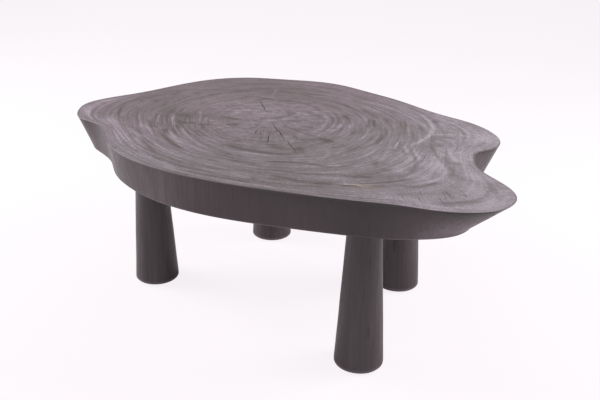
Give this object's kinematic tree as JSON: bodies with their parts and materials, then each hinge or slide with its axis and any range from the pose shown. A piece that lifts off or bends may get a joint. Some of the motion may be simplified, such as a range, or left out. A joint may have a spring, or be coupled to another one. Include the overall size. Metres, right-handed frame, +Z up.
{
  "type": "live-edge slab coffee table",
  "caption": "Low table: a live-edge slice of a forked trunk, flat on top, on turned legs that widen downwards and screw into plates under the slab.",
  "frame": {"origin": "on the floor, under the middle of the slab's overall length and width", "axes": "+Z up, +X along the slab's length towards its forked end, +Y towards the back edge"},
  "size_m": [1.1998, 0.7969, 0.45],
  "materials": {
    "slab_wood": "charcoal stained end grain, satin",
    "leg_wood": "charcoal stained, turned, satin",
    "threaded_rod": "zinc plated thread",
    "plate_steel": "zinc plated sheet steel",
    "screw_steel": "yellow passivated",
    "pad_felt": "pressed felt"
  },
  "bodies": {
    "root": {"slab_top": "slab_wood", "leg_front_left": "leg_wood", "leg_stud_front_left": "threaded_rod", "mounting_plate_front_left": "plate_steel", "plate_screws_front_left": "screw_steel", "foot_pad_front_left": "pad_felt", "leg_front_right": "leg_wood", "leg_stud_front_right": "threaded_rod", "mounting_plate_front_right": "plate_steel", "plate_screws_front_right": "screw_steel", "foot_pad_front_right": "pad_felt", "leg_back_right": "leg_wood", "leg_stud_back_right": "threaded_rod", "mounting_plate_back_right": "plate_steel", "plate_screws_back_right": "screw_steel", "foot_pad_back_right": "pad_felt", "leg_back_left": "leg_wood", "leg_stud_back_left": "threaded_rod", "mounting_plate_back_left": "plate_steel", "plate_screws_back_left": "screw_steel", "foot_pad_back_left": "pad_felt"}
  },
  "joints": []
}
